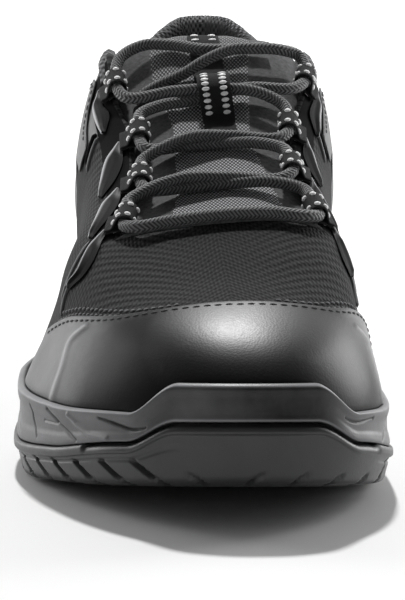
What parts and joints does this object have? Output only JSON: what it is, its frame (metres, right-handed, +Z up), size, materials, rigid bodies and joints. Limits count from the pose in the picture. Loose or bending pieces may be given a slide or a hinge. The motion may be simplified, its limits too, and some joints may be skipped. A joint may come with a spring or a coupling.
{
  "type": "work shoe",
  "caption": "Low-cut lace-up safety work shoe for the right foot: padded collar, woven vamp, smooth toe cap, webbing lace loops and a lugged rubber sole with a toe bumper.",
  "frame": {"origin": "on the floor, under the middle of the shoe's box", "axes": "-Y towards the toe, +Y towards the heel, +X towards the inner (medial) side, +Z up"},
  "size_m": [0.108, 0.3024, 0.1147],
  "materials": {
    "rubber": "satin",
    "foam": "satin",
    "footbed": "matte",
    "textile": "matte",
    "lining": "matte",
    "leather": "satin",
    "trim": "satin",
    "webbing": "matte",
    "cord": "matte",
    "thread": "matte",
    "reflective": "satin"
  },
  "bodies": {
    "root": {"outsole": "rubber", "midsole": "foam", "insole": "footbed", "upper": "textile", "toe_cap": "leather", "heel_counter": "trim", "tongue": "textile", "tongue_keeper": "webbing", "lace_loop_lateral_1": "webbing", "lace_loop_lateral_2": "webbing", "lace_loop_lateral_3": "webbing", "lace_loop_lateral_4": "webbing", "lace_loop_medial_1": "webbing", "lace_loop_medial_2": "webbing", "lace_loop_medial_3": "webbing", "lace_loop_medial_4": "webbing", "strap_lateral_1": "trim", "strap_lateral_2": "trim", "strap_lateral_3": "trim", "strap_lateral_4": "trim", "strap_medial_1": "trim", "strap_medial_2": "trim", "strap_medial_3": "trim", "strap_medial_4": "trim", "lace_bar": "cord", "lace_crossing_lower": "cord", "lace_crossing_middle": "cord", "lace_crossing_upper": "cord", "lace_end_lateral": "cord", "lace_end_medial": "cord"}
  },
  "joints": []
}
